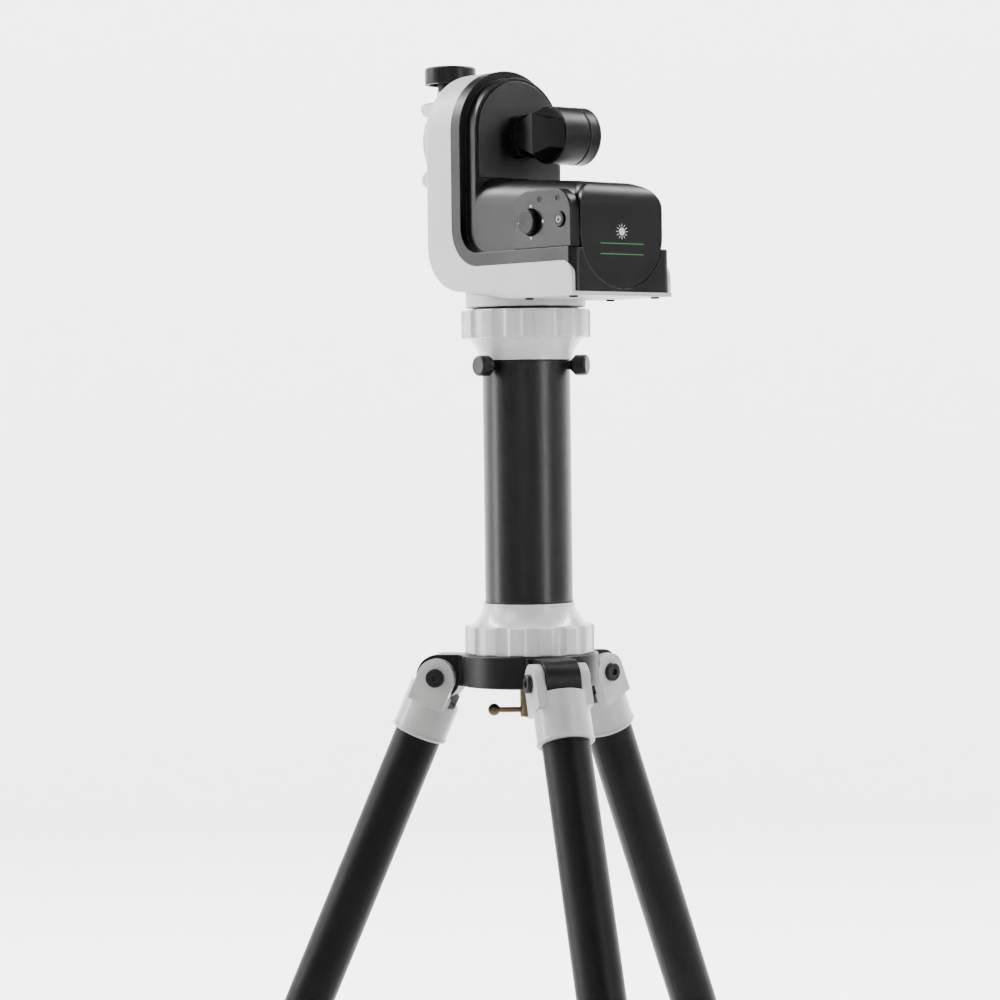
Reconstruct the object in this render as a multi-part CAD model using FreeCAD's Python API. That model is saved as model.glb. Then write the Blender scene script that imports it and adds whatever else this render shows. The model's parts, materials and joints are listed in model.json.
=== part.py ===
"""Motorised alt-azimuth tracking head on a short pier and a three-legged field tripod.

Millimetres. +Z is up and is the azimuth axis. The origin is on the ground under the pier.
+X points from the dovetail saddle through the arm to the battery end, and is the altitude axis.
+Y is the way the telescope points. The user stands on the -Y side and faces the keys.
"""
import FreeCAD
import Part
import math
import os

V = FreeCAD.Vector
X_AXIS = V(1, 0, 0)
Y_AXIS = V(0, 1, 0)
Z_AXIS = V(0, 0, 1)

# ---- driving dimensions: heights -------------------------------------------------------------
PIVOT_Z = 600.0            # leg pivots above the ground, legs spread and pushed in
HUB_TOP = 616.5            # top of the tripod hub
HUB_THICK = 22.0
FLANGE_RING = 19.2         # height of each scalloped ring
FLANGE_CONE = 15.0         # height of the cone between ring and neck
TUBE_LENGTH = 165.6        # visible pier tube
HEAD_GAP = 1.7             # daylight between upper ring and head
BOSS_DROP = 4.3            # head's round boss below its flat bottom
TUBE_BOTTOM = HUB_TOP + FLANGE_RING + FLANGE_CONE
TUBE_TOP = TUBE_BOTTOM + TUBE_LENGTH
UPPER_TOP = TUBE_TOP + FLANGE_RING + FLANGE_CONE
HEAD_Z = UPPER_TOP + HEAD_GAP + BOSS_DROP     # flat bottom of the head
ALT_Z = HEAD_Z + 112.5                        # altitude axis
ARCH_Z = HEAD_Z + 115.5                       # centre of the arm's round top

# ---- pier -------------------------------------------------------------------------------------
TUBE_R = 30.0
TUBE_WALL = 2.1
RING_R = 44.25
NECK_R = 31.5
SPIGOT_R = TUBE_R - TUBE_WALL
SPIGOT_DEPTH = 26.0
FLUTES = 14
FLUTE_R = 10.0
FLUTE_DEPTH = 2.0
THUMB_ANGLES = (-88.0, 32.0, 152.0)
THUMB_Z = TUBE_TOP - 3.9
THUMB_THREAD_R = 3.0

# ---- tripod -----------------------------------------------------------------------------------
LEG_ANGLES = (-23.0, 97.0, 217.0)
LEG_TILT = 23.5            # from the vertical
PIVOT_RADIUS = 62.0
LUG_HALF = 12.0            # half width of each hub lug
LUG_R = 15.5
EAR_GAP = 12.3             # inner faces of the clevis ears
EAR_OUT = 19.0
EAR_R = 13.0
CLEVIS_R = 19.0
CLEVIS_END = 43.0          # lower rim of the clevis, along the leg from its pivot
LEG_R = 16.25
LEG_WALL = 1.8
LEG_START = 22.0
LEG_END = 548.0
INNER_R = 13.75
INNER_WALL = 1.5
INNER_START = 130.0
INNER_END = 626.0
COLLAR_START = 528.0
COLLAR_END = 576.0
COLLAR_R = 20.5
CLAMP_S = 564.0            # clamp screw of the collar, along the leg
FOOT_TIP_R = 13.0
FOOT_CENTRE = (PIVOT_Z - FOOT_TIP_R) / math.cos(math.radians(LEG_TILT))
PIVOT_BOLT_R = 4.0
LOCK_BAR_Z = 577.4
LOCK_BAR_HALF = 25.0
LOCK_BAR_ANGLE = 45.0
RUN = 0.05                 # radial clearance of a running fit

# ---- head: arm and base -----------------------------------------------------------------------
HALF = 43.5                # half width of the head
WALL = 2.5
ARM_OUT = -54.5            # outer face of the arm
SEAM_X = -25.5             # white shell meets black cover on the arm
STEP1_X = -16.0            # first step of the black cover
STEP2_X = -6.0             # second step of the black cover
FACE_X = -4.7              # front of the D-shaped face plate
FACE_R = 35.5
BODY_END = 96.0            # end wall of the base body
SHELL_END = 99.5           # end of the white shell's sides
HEAD_END = 100.5           # battery end of the head
SEAM_Z = 23.0              # white shell meets black cover on the base
BAND_Z = 32.0              # top of the flush black band
STEP_IN = 5.5              # the second level is this far inside the first
CORNER_OUT = 32.0          # radius of the arm's outer corner
SLOPE_END = 30.0           # the underside slopes down from the corner to here
CORNER_IN = 27.5
CORNER_BAND = 18.0
CORNER_END = 10.0
TOP_AT_ARM = 83.0
TOP_AT_END = 75.3
BODY_CORNER = 18.0
TRAY_TOP = 31.0
PLATE_TOP = 2.5
BOSS_R = 41.0
BOSS_TOP = 6.0

# ---- keys on the control pod: centres (x, height above the head's bottom) ---------------------
POD_X0 = 40.0
POD_X1 = 99.0
POD_TOP = 70.5
POD_CORNER = 16.0
STICK_X = 58.4
STICK_Z = 49.5
STICK_R = 8.15
STICK_PIVOT_Y = -39.4
POWER_X = 88.0
POWER_Z = 50.0
POWER_R = 4.9
LAMP_R = 1.5
LAMP_PLACES = ((67.4, 64.3), (85.7, 64.3))

# ---- altitude group ---------------------------------------------------------------------------
SHAFT_R = 8.0
SADDLE_FACE = -68.0
JAW_OUT = -86.0
JAW_HALF = 21.0            # half length of the jaws along the bar
SADDLE_R = 35.0
SEAT_HALF = 17.0           # half width of the seat that the bar lies on
SEAT_GROOVE = 0.6          # depth of the groove on each side of the seat
LUG_SCREW_R = 9.5          # round lug that holds the clamp screw
LUG_LOW = 32.0
LUG_HIGH = 37.4
BAR_HALF = 22.0            # half width of the dovetail bar that the saddle takes
KNOB_X = -79.0
BARREL_X = 21.0
BARREL_R = 19.7
BARREL_NEAR = 4.0
BARREL_FAR = 36.0
CAP_START = 25.5

# ---- drives -----------------------------------------------------------------------------------
GEAR_TEETH = 72
GEAR_R = 26.0
GEAR_WIDTH = 5.0
WORM_R = 5.5
WORM_HALF = 12.0
WORM_SHAFT_R = 2.5
MESH_GAP = 0.5
WORM_OFFSET = GEAR_R + WORM_R + MESH_GAP
ALT_GEAR_X = -38.5
AZ_GEAR_Z = HEAD_Z + 18.5
MOTOR_R = 9.0
BEARING_R = 13.0
UPRIGHT_HALF = 17.0


# ---- helpers ----------------------------------------------------------------------------------
def cyl(radius, start, end, centre=V(0, 0, 0), axis=Z_AXIS):
    """Cylinder about axis through centre, from start to end along the axis."""
    return Part.makeCylinder(radius, end - start, centre + axis * start, axis)


def ring(outer, inner, start, end, centre=V(0, 0, 0), axis=Z_AXIS):
    return cyl(outer, start, end, centre, axis).cut(cyl(inner, start - 1, end + 1, centre, axis))


def box(x0, x1, y0, y1, z0, z1):
    return Part.makeBox(x1 - x0, y1 - y0, z1 - z0, V(x0, y0, z0))


def head_box(x0, x1, y0, y1, z0, z1):
    """Box whose heights count from the flat bottom of the head."""
    return box(x0, x1, y0, y1, HEAD_Z + z0, HEAD_Z + z1)


def revolve_z(points):
    """Closed profile of (radius, z) points turned about Z."""
    pts = [V(r, 0, z) for r, z in points]
    return Part.Face(Part.makePolygon(pts + pts[:1])).revolve(V(0, 0, 0), Z_AXIS, 360)


def arc(a, b, c):
    return Part.Arc(a, b, c).toShape()


def line(a, b):
    return Part.LineSegment(a, b).toShape()


def fillet(shape, radius, pick):
    """Rounds the edges that pick chooses; keeps the sharp shape if the kernel can't."""
    edges = [e for e in shape.Edges if pick(e)]
    if not edges:
        return shape
    try:
        rounded = shape.makeFillet(radius, edges)
    except Part.OCCError:
        return shape
    return rounded if rounded.isValid() else shape


def rounded_rect(half_a, half_b, radius):
    """Corner-rounded rectangle in the XY plane, centred, as a face."""
    k = radius * (1 - math.sqrt(0.5))
    edges = []
    corners = [(1, 1), (-1, 1), (-1, -1), (1, -1)]
    for i, (sx, sy) in enumerate(corners):
        before = V(sx * half_a, sy * (half_b - radius), 0)
        middle = V(sx * (half_a - k), sy * (half_b - k), 0)
        after = V(sx * (half_a - radius), sy * half_b, 0)
        if sx * sy < 0:
            before, after = after, before
        edges.append((before, middle, after))
        corners[i] = (before, after)
    shapes = []
    for i, (a, m, b) in enumerate(edges):
        shapes.append(arc(a, m, b))
        nxt = edges[(i + 1) % 4][0]
        if (nxt - b).Length > 1e-6:
            shapes.append(line(b, nxt))
    return Part.Face(Part.Wire(shapes))


def fluted_ring(z0, z1):
    """Scalloped hand ring."""
    body = fillet(cyl(RING_R, z0, z1), 1.6, lambda e: e.Curve.TypeId == "Part::GeomCircle")
    for i in range(FLUTES):
        a = 2 * math.pi * (i + 0.5) / FLUTES
        reach = RING_R + FLUTE_R - FLUTE_DEPTH
        body = body.cut(cyl(FLUTE_R, z0 - 1, z1 + 1, V(reach * math.cos(a), reach * math.sin(a), 0)))
    return body


def toothed(radius, teeth, start, end, centre, axis, side):
    """Spur wheel: a disc with a shallow notch between teeth. side is a unit vector across the axis."""
    wheel = cyl(radius, start, end, centre, axis)
    other = axis.cross(side)
    width = math.pi * radius / teeth
    notch = Part.makeCylinder(width * 0.5, end - start + 2, V(0, 0, 0), axis)
    for i in range(teeth):
        a = 2 * math.pi * i / teeth
        at = centre + axis * (start - 1) + (side * math.cos(a) + other * math.sin(a)) * radius
        cutter = notch.copy()
        cutter.translate(at)
        wheel = wheel.cut(cutter)
    return wheel


# ---- pier -------------------------------------------------------------------------------------
def flange(upper):
    """Scalloped flange with a concave cone, a neck and a spigot that enters the pier tube.

    Drawn for the lower end, then mirrored for the upper one.
    """
    z0 = HUB_TOP
    z1 = z0 + FLANGE_RING
    neck = TUBE_BOTTOM - 2.4
    wall = [
        line(V(0, 0, z1 - 3), V(RING_R - 5, 0, z1 - 3)),
        line(V(RING_R - 5, 0, z1 - 3), V(RING_R - 5, 0, z1)),
        arc(V(RING_R - 5, 0, z1), V(NECK_R + 2.6, 0, z1 + 6.6), V(NECK_R, 0, neck)),
        line(V(NECK_R, 0, neck), V(NECK_R, 0, TUBE_BOTTOM)),
        line(V(NECK_R, 0, TUBE_BOTTOM), V(0, 0, TUBE_BOTTOM)),
        line(V(0, 0, TUBE_BOTTOM), V(0, 0, z1 - 3)),
    ]
    cone = Part.Face(Part.Wire(wall)).revolve(V(0, 0, 0), Z_AXIS, 360)
    spigot = cyl(SPIGOT_R, TUBE_BOTTOM, TUBE_BOTTOM + SPIGOT_DEPTH)
    solid = fluted_ring(z0, z1).fuse(cone).fuse(spigot)
    pocket_r = SPIGOT_R - 5
    solid = solid.cut(cyl(pocket_r, z0 + 10, TUBE_BOTTOM + SPIGOT_DEPTH + 1))
    if upper:
        middle = (TUBE_BOTTOM + TUBE_TOP) / 2
        solid = solid.mirror(V(0, 0, middle), Z_AXIS)
        for angle in THUMB_ANGLES:
            solid = solid.cut(thumb_bore(angle, THUMB_THREAD_R + RUN))
        solid = solid.cut(cyl(5.0, UPPER_TOP - 11, UPPER_TOP + 1))
    else:
        solid = solid.cut(cyl(5.0 + RUN, z0 - 1, z0 + 11))
    return solid.removeSplitter()


def thumb_bore(angle, radius):
    a = math.radians(angle)
    out = V(math.cos(a), math.sin(a), 0)
    return cyl(radius, SPIGOT_R - 4, TUBE_R + 2, V(0, 0, THUMB_Z), out)


def pier_tube():
    tube = ring(TUBE_R, SPIGOT_R, TUBE_BOTTOM, TUBE_TOP)
    for angle in THUMB_ANGLES:
        tube = tube.cut(thumb_bore(angle, THUMB_THREAD_R + RUN))
    return tube


def thumb_screw(angle):
    """Screw with a tapered round head; its thread reaches into the flange's spigot."""
    a = math.radians(angle)
    out = V(math.cos(a), math.sin(a), 0)
    base = V(0, 0, THUMB_Z)
    stem = cyl(THUMB_THREAD_R, SPIGOT_R - 3.5, TUBE_R + 2, base, out)
    neck = Part.makeCone(3.3, 6.9, 3.9, base + out * (TUBE_R + 1.7), out)
    head = cyl(7.1, TUBE_R + 5.6, TUBE_R + 14.0, base, out)
    head = fillet(head, 2.0, lambda e: (e.CenterOfMass - base).dot(out) > TUBE_R + 13)
    return stem.fuse(neck).fuse(head)


def lock_bolt():
    """Bolt under the hub that pulls the pier down. Its bar crosses the round head."""
    low = LOCK_BAR_Z - 4.8
    head = cyl(7.25, low, HUB_TOP - HUB_THICK - 0.4)
    head = fillet(head, 1.2, lambda e: e.CenterOfMass.z < low + 0.5)
    shank = cyl(5.0, HUB_TOP - HUB_THICK - 1.0, HUB_TOP + 9)
    hole = cyl(1.9, -12, 12, V(0, 0, LOCK_BAR_Z), bar_direction())
    return head.fuse(shank).cut(hole)


def bar_direction():
    """The bar lies across, turned to the left leg's side."""
    a = math.radians(LOCK_BAR_ANGLE)
    return V(math.cos(a), math.sin(a), 0)


def lock_bar():
    d = bar_direction()
    centre = V(0, 0, LOCK_BAR_Z)
    bar = cyl(1.9, -LOCK_BAR_HALF, LOCK_BAR_HALF, centre, d)
    for side in (-1, 1):
        ball = Part.makeSphere(4.3, centre + d * (LOCK_BAR_HALF * side))
        bar = bar.fuse(ball)
    return bar


# ---- tripod -----------------------------------------------------------------------------------
def on_leg(shape, angle):
    """Places a shape drawn about the pivot: +X outwards, -Z down the leg, +Y along the pivot bolt."""
    placed = shape.copy()
    placed.rotate(V(0, 0, 0), Y_AXIS, -LEG_TILT)
    placed.translate(V(PIVOT_RADIUS, 0, PIVOT_Z))
    placed.rotate(V(0, 0, 0), Z_AXIS, angle)
    return placed


def tripod_hub():
    """Round casting with three lugs; each lug is rounded about its pivot."""
    z0 = HUB_TOP - HUB_THICK
    hub = cyl(47.0, z0, HUB_TOP)
    hub = fillet(hub, 1.5, lambda e: e.Curve.TypeId == "Part::GeomCircle")
    for angle in LEG_ANGLES:
        web = box(30, PIVOT_RADIUS, -LUG_HALF, LUG_HALF, z0, PIVOT_Z + LUG_R)
        nose = cyl(LUG_R, -LUG_HALF, LUG_HALF, V(PIVOT_RADIUS, 0, PIVOT_Z), Y_AXIS)
        skirt = box(20, 46.0, -LUG_HALF - 4, LUG_HALF + 4, z0, HUB_TOP - 1.0)
        lug = web.fuse(nose).fuse(skirt)
        lug = lug.cut(cyl(PIVOT_BOLT_R, -LUG_HALF - 1, LUG_HALF + 1, V(PIVOT_RADIUS, 0, PIVOT_Z), Y_AXIS))
        lug.rotate(V(0, 0, 0), Z_AXIS, angle)
        hub = hub.fuse(lug)
    hub = hub.cut(cyl(5.0 + RUN, z0 - 20, HUB_TOP + 1))
    pocket = ring(40, 12, z0 - 1, z0 + 9)
    return hub.cut(pocket).removeSplitter()


def pivot_bolt(angle):
    """Cap screw through ears and lug, with its nut head on the other side."""
    gap = 0.35
    shank = cyl(PIVOT_BOLT_R, -EAR_OUT - gap, EAR_OUT + gap, V(0, 0, 0), Y_AXIS)
    bolt = shank
    for side in (-1, 1):
        axis = Y_AXIS * side
        head = cyl(6.4, EAR_OUT + gap, EAR_OUT + 3.4, V(0, 0, 0), axis)
        head = fillet(head, 1.0, lambda e: abs(e.CenterOfMass.y) > EAR_OUT + 3)
        socket = cyl(2.6, EAR_OUT + 1.2, EAR_OUT + 4, V(0, 0, 0), axis)
        bolt = bolt.fuse(head).cut(socket)
    return on_leg(bolt, angle)


def leg_clevis(angle):
    """White fork: two ears on the pivot bolt above a round socket that holds the leg tube."""
    ears = box(-EAR_R, EAR_R, -EAR_OUT, EAR_OUT, -20, 0)
    ears = ears.fuse(cyl(EAR_R, -EAR_OUT, EAR_OUT, V(0, 0, 0), Y_AXIS))
    socket = cyl(CLEVIS_R, 10.0, CLEVIS_END, V(0, 0, 0), V(0, 0, -1))
    socket = fillet(socket, 1.0, lambda e: e.CenterOfMass.z < -CLEVIS_END + 1)
    fork = ears.fuse(socket)
    fork = fork.cut(box(-40, 40, -EAR_GAP, EAR_GAP, 0, 30))
    fork = fork.cut(cyl(LUG_R + 1.5, -EAR_GAP, EAR_GAP, V(0, 0, 0), Y_AXIS))
    fork = fork.cut(box(-40, 0, -EAR_GAP, EAR_GAP, -LUG_R - 1.5, 1))
    fork = fork.cut(cyl(PIVOT_BOLT_R + RUN, -30, 30, V(0, 0, 0), Y_AXIS))
    fork = fork.cut(cyl(LEG_R, LEG_START, CLEVIS_END + 1, V(0, 0, 0), V(0, 0, -1)))
    return on_leg(fork.removeSplitter(), angle)


def leg_outer_tube(angle):
    tube = ring(LEG_R, LEG_R - LEG_WALL, LEG_START, LEG_END, V(0, 0, 0), V(0, 0, -1))
    return on_leg(tube, angle)


def leg_inner_tube(angle):
    tube = ring(INNER_R, INNER_R - INNER_WALL, INNER_START, INNER_END, V(0, 0, 0), V(0, 0, -1))
    return on_leg(tube, angle)


def leg_collar(angle):
    """Clamp collar on the outer tube; its lower half guides the inner tube."""
    down = V(0, 0, -1)
    body = cyl(COLLAR_R, COLLAR_START, COLLAR_END, V(0, 0, 0), down)
    body = fillet(body, 2.0, lambda e: e.Curve.TypeId == "Part::GeomCircle")
    boss = cyl(8.0, 0, COLLAR_R + 6, V(0, 0, -CLAMP_S), X_AXIS)
    body = body.fuse(boss)
    body = body.cut(cyl(LEG_R, COLLAR_START - 1, LEG_END, V(0, 0, 0), down))
    body = body.cut(cyl(INNER_R + RUN, LEG_END - 1, COLLAR_END + 1, V(0, 0, 0), down))
    body = body.cut(cyl(3.0 + RUN, 5, COLLAR_R + 8, V(0, 0, -CLAMP_S), X_AXIS))
    return on_leg(body, angle)


def leg_lock_knob(angle):
    """Thumb screw of the collar: a three-winged head on a short thread."""
    at = V(0, 0, -CLAMP_S)
    start = COLLAR_R + 6.4
    screw = cyl(3.0, INNER_R + 1.0, start + 2, at, X_AXIS)
    head = cyl(6.5, start, start + 9, at, X_AXIS)
    for i in range(3):
        wing = box(start + 1.5, start + 8, -2.4, 2.4, 0, 12.5)
        tip = cyl(2.4, start + 1.5, start + 8, V(0, 0, 12.5), X_AXIS)
        wing = wing.fuse(tip)
        wing.rotate(V(0, 0, 0), X_AXIS, 120 * i)
        wing.translate(at)
        head = head.fuse(wing)
    return on_leg(screw.fuse(head).removeSplitter(), angle)


def leg_foot(angle):
    """Rubber foot: a stepped boot with a round tip."""
    boot = [
        (0, -INNER_END + 20), (15.0, -INNER_END + 20), (15.8, -INNER_END + 18),
        (15.8, -INNER_END - 3), (14.6, -INNER_END - 5), (FOOT_TIP_R, -FOOT_CENTRE), (0, -FOOT_CENTRE),
    ]
    body = revolve_z(boot)
    ball = Part.makeSphere(FOOT_TIP_R, V(0, 0, -FOOT_CENTRE))
    body = body.fuse(ball)
    body = body.cut(cyl(INNER_R, INNER_END - 30, INNER_END, V(0, 0, 0), V(0, 0, -1)))
    return on_leg(body, angle)


# ---- head outlines ----------------------------------------------------------------------------
def side_outline(seam_x, seam_z, corner, end_x, inset=0.0, end_corner=0.0):
    """L outline of arm and base in the XZ plane, as a face at Y = 0.

    The outer corner is round, and the underside slopes down from it to SLOPE_END.
    The inner side runs down x = seam_x, round a corner, along z = seam_z, and round the end.
    """
    z0 = HEAD_Z + inset
    left = ARM_OUT + inset
    top = ARCH_Z + HALF + 5
    k = math.sqrt(0.5)
    cx, cz = ARM_OUT + CORNER_OUT, HEAD_Z + CORNER_OUT + 7.0
    run, drop = SLOPE_END - cx, cz - HEAD_Z
    touch = -math.atan2(drop, run) - math.acos(CORNER_OUT / math.hypot(run, drop))
    mid = (touch - math.pi) / 2
    r_out = CORNER_OUT - inset
    lean = -touch - math.pi / 2
    foot = V(SLOPE_END + inset * math.tan(lean / 2), 0, z0)
    low = V(cx + r_out * math.cos(touch), 0, cz + r_out * math.sin(touch))
    middle = V(cx + r_out * math.cos(mid), 0, cz + r_out * math.sin(mid))
    ic = V(seam_x + corner, 0, HEAD_Z + seam_z + corner)
    shelf = HEAD_Z + seam_z
    end_low = V(end_x, 0, shelf - end_corner)
    end_high = V(end_x - end_corner, 0, shelf)
    points = [
        line(V(left, 0, top), V(left, 0, cz)),
        arc(V(left, 0, cz), middle, low),
        line(low, foot),
        line(foot, V(end_x, 0, z0)),
        line(V(end_x, 0, z0), end_low),
    ]
    if end_corner > 0:
        bend = V(end_x - end_corner * (1 - k), 0, shelf - end_corner * (1 - k))
        points.append(arc(end_low, bend, end_high))
    points += [
        line(end_high, V(ic.x, 0, shelf)),
        arc(V(ic.x, 0, shelf), V(ic.x - corner * k, 0, ic.z - corner * k), V(seam_x, 0, ic.z)),
        line(V(seam_x, 0, ic.z), V(seam_x, 0, top)),
        line(V(seam_x, 0, top), V(left, 0, top)),
    ]
    return Part.Face(Part.Wire(points))


def arch_prism(half, x0, x1, z_low):
    """Upright slab: straight sides and a half-round top, between x0 and x1."""
    left, right = V(x0, -half, ARCH_Z), V(x0, half, ARCH_Z)
    low_left, low_right = V(x0, -half, z_low), V(x0, half, z_low)
    wire = Part.Wire([
        arc(left, V(x0, 0, ARCH_Z + half), right),
        line(right, low_right),
        line(low_right, low_left),
        line(low_left, left),
    ])
    return Part.Face(wire).extrude(V(x1 - x0, 0, 0))


def sweep_y(face, half):
    placed = face.copy()
    placed.translate(V(0, -half, 0))
    return placed.extrude(V(0, 2 * half, 0))


def body_slope():
    return (TOP_AT_END - TOP_AT_ARM) / BODY_END


def body_profile(x0, end_x, lift, radius):
    """Base body outline in XZ: sloping top and a rounded upper end corner, as a face at Y = 0."""
    slope = body_slope()
    z_arm = HEAD_Z + TOP_AT_ARM + lift + slope * x0
    z_end = HEAD_Z + TOP_AT_ARM + lift + slope * (end_x - radius)
    z0 = HEAD_Z + PLATE_TOP
    k = math.sqrt(0.5)
    c = V(end_x - radius, 0, z_end - radius)
    points = [
        line(V(x0, 0, z0), V(end_x, 0, z0)),
        line(V(end_x, 0, z0), V(end_x, 0, c.z)),
        arc(V(end_x, 0, c.z), V(c.x + radius * k, 0, c.z + radius * k), V(c.x, 0, z_end)),
        line(V(c.x, 0, z_end), V(x0, 0, z_arm)),
        line(V(x0, 0, z_arm), V(x0, 0, z0)),
    ]
    return Part.Face(Part.Wire(points))


def body_section(x0, x1, half, lift, radius):
    """Prism that follows the sloping top; its upper corners are rounded along X."""
    k = radius * (1 - math.sqrt(0.5))
    z_top = HEAD_Z + TOP_AT_ARM + lift + body_slope() * x0
    z_bot = HEAD_Z - 20
    points = [
        line(V(x0, -half, z_bot), V(x0, half, z_bot)),
        line(V(x0, half, z_bot), V(x0, half, z_top - radius)),
        arc(V(x0, half, z_top - radius), V(x0, half - k, z_top - k), V(x0, half - radius, z_top)),
        line(V(x0, half - radius, z_top), V(x0, -half + radius, z_top)),
        arc(V(x0, -half + radius, z_top), V(x0, -half + k, z_top - k), V(x0, -half, z_top - radius)),
        line(V(x0, -half, z_top - radius), V(x0, -half, z_bot)),
    ]
    length = x1 - x0
    return Part.Face(Part.Wire(points)).extrude(V(length, 0, body_slope() * length))


def largest(shape):
    return max(shape.Solids, key=lambda s: s.Volume)


# ---- head shells ------------------------------------------------------------------------------
def white_region(end_x):
    """Everything on the white side of the seam, as wide as the head."""
    return side_outline(SEAM_X, SEAM_Z, CORNER_IN, end_x, 0.0, CORNER_END)


def outer_shell():
    """White shell: outer half of the arm, the large corner and the sides of the base."""
    solid = sweep_y(white_region(SHELL_END), HALF)
    solid = solid.common(arch_prism(HALF, ARM_OUT - 5, 110, HEAD_Z - 5))
    solid = fillet(solid, 4.0, is_outer_rim)
    inner = sweep_y(side_outline(SEAM_X + 6, SEAM_Z + 6, CORNER_IN, 120.0, WALL), HALF - WALL)
    inner = inner.common(arch_prism(HALF - WALL, ARM_OUT - 5, 130, HEAD_Z - 5))
    shell = solid.cut(inner)
    shell = shell.cut(head_box(SLOPE_END, 120, -HALF + WALL, HALF - WALL, -5, 6))
    shell = shell.cut(cyl(BOSS_R - 5.0, HEAD_Z - 10, HEAD_Z + 12))
    shell = shell.cut(cyl(SHAFT_R + 1.0, ARM_OUT - 5, ARM_OUT + 5, V(0, 0, ALT_Z), X_AXIS))
    return largest(shell)


def is_outer_rim(edge):
    """Outline of the arm's flat outer face."""
    b = edge.BoundBox
    return b.XMax < ARM_OUT + 0.1 and b.XLength < 0.01 and b.ZLength > 5


def level_solids(inset):
    """The black cover's two levels and base body, drawn smaller by inset all round."""
    half1 = HALF - inset
    half2 = HALF - STEP_IN - inset
    low = HEAD_Z + SEAM_Z - 8
    band = sweep_y(side_outline(STEP1_X - inset, BAND_Z - inset, CORNER_BAND, BODY_END - inset), half1)
    level1 = band.common(arch_prism(half1, ARM_OUT, 120, low))
    step2 = arch_prism(half2, ARM_OUT + 20, STEP2_X - inset, low)
    body = sweep_y(body_profile(-40, BODY_END - inset, -inset, BODY_CORNER - inset), 60)
    section = body_section(-45, 120, half2, -inset, BODY_CORNER - inset)
    return level1.fuse(step2).fuse(body.common(section))


def inner_cover():
    """Black cover: stepped arm rim, flush band and the base body, one moulding."""
    cover = level_solids(0).cut(sweep_y(white_region(SHELL_END), 80)).cut(level_solids(WALL))
    cover = cover.cut(cyl(SHAFT_R + 1.0, -20, 5, V(0, 0, ALT_Z), X_AXIS))
    cover = cover.cut(head_box(BODY_END - 5.5, BODY_END + 1, -29.5, 29.5, 3.0, 66.5))
    for x, z, r in ((STICK_X, STICK_Z, STICK_R + 1.5), (POWER_X, POWER_Z, POWER_R + 0.8)):
        cover = cover.cut(cyl(r, -HALF - 1, -30, V(x, 0, HEAD_Z + z), Y_AXIS))
    return largest(cover)


def face_plate():
    """D-shaped cap on the arm's inner face, round the altitude shaft."""
    plate = arch_prism(FACE_R, STEP2_X, FACE_X, HEAD_Z + TOP_AT_ARM + 0.8)
    plate = fillet(plate, 0.5, lambda e: e.BoundBox.XMin > FACE_X - 0.01 and e.BoundBox.XLength < 0.01)
    return plate.cut(cyl(SHAFT_R + 1.0, -20, 5, V(0, 0, ALT_Z), X_AXIS))


def panel_outline():
    """Outline of the control pod in XZ: rounded upper corners, square lower ones."""
    z0, z1 = HEAD_Z + BAND_Z, HEAD_Z + POD_TOP
    r = POD_CORNER
    k = r * (1 - math.sqrt(0.5))
    points = [
        line(V(POD_X0, 0, z0), V(POD_X1, 0, z0)),
        line(V(POD_X1, 0, z0), V(POD_X1, 0, z1 - r)),
        arc(V(POD_X1, 0, z1 - r), V(POD_X1 - k, 0, z1 - k), V(POD_X1 - r, 0, z1)),
        line(V(POD_X1 - r, 0, z1), V(POD_X0 + r, 0, z1)),
        arc(V(POD_X0 + r, 0, z1), V(POD_X0 + k, 0, z1 - k), V(POD_X0, 0, z1 - r)),
        line(V(POD_X0, 0, z1 - r), V(POD_X0, 0, z0)),
    ]
    return Part.Face(Part.Wire(points))


def stick_centre():
    return V(STICK_X, 0, HEAD_Z + STICK_Z)


def power_centre():
    return V(POWER_X, 0, HEAD_Z + POWER_Z)


def control_panel():
    """Control pod, proud of the body and flush with the band, with bores for keys and lamps."""
    face = panel_outline()
    face.translate(V(0, -HALF, 0))
    pod = face.extrude(V(0, 7.1, 0)).cut(level_solids(0))
    pod = fillet(largest(pod), 1.0, lambda e: e.BoundBox.YMax < -HALF + 0.01)
    pod = pod.cut(cyl(STICK_R + 0.95, -60, 0, stick_centre(), Y_AXIS))
    trunnions = cyl(0.95, -10.7, 10.7, stick_centre() + V(0, STICK_PIVOT_Y, 0))
    pod = pod.cut(trunnions)
    pod = pod.cut(cyl(POWER_R + 0.4, -60, 0, power_centre(), Y_AXIS))
    for x, z in LAMP_PLACES:
        pod = pod.cut(cyl(LAMP_R, -60, 0, V(x, 0, HEAD_Z + z), Y_AXIS))
    return largest(pod)


def led_windows():
    lamps = []
    for x, z in LAMP_PLACES:
        lamps.append(cyl(LAMP_R, -HALF + 0.3, -HALF + 4.3, V(x, 0, HEAD_Z + z), Y_AXIS))
    return Part.makeCompound(lamps)


def joystick_gimbal():
    """Ring that leans left and right on two upright pins in the pod."""
    c = stick_centre()
    pivot = c + V(0, STICK_PIVOT_Y, 0)
    body = ring(7.6, 5.2, STICK_PIVOT_Y - 1.0, STICK_PIVOT_Y + 1.0, c, Y_AXIS)
    for side in (-1, 1):
        body = body.fuse(cyl(0.9, 7.0, 10.3, pivot, Z_AXIS * side))
    return body.cut(cyl(0.75, -8, 8, pivot, X_AXIS))


def joystick_rocker():
    """Sleeve that leans up and down inside the gimbal ring and guides the stick."""
    c = stick_centre()
    pivot = c + V(0, STICK_PIVOT_Y, 0)
    body = ring(4.4, 2.25, STICK_PIVOT_Y - 1.4, STICK_PIVOT_Y + 1.6, c, Y_AXIS)
    for side in (-1, 1):
        body = body.fuse(cyl(0.7, 3.4, 7.4, pivot, X_AXIS * side))
    return body


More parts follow.
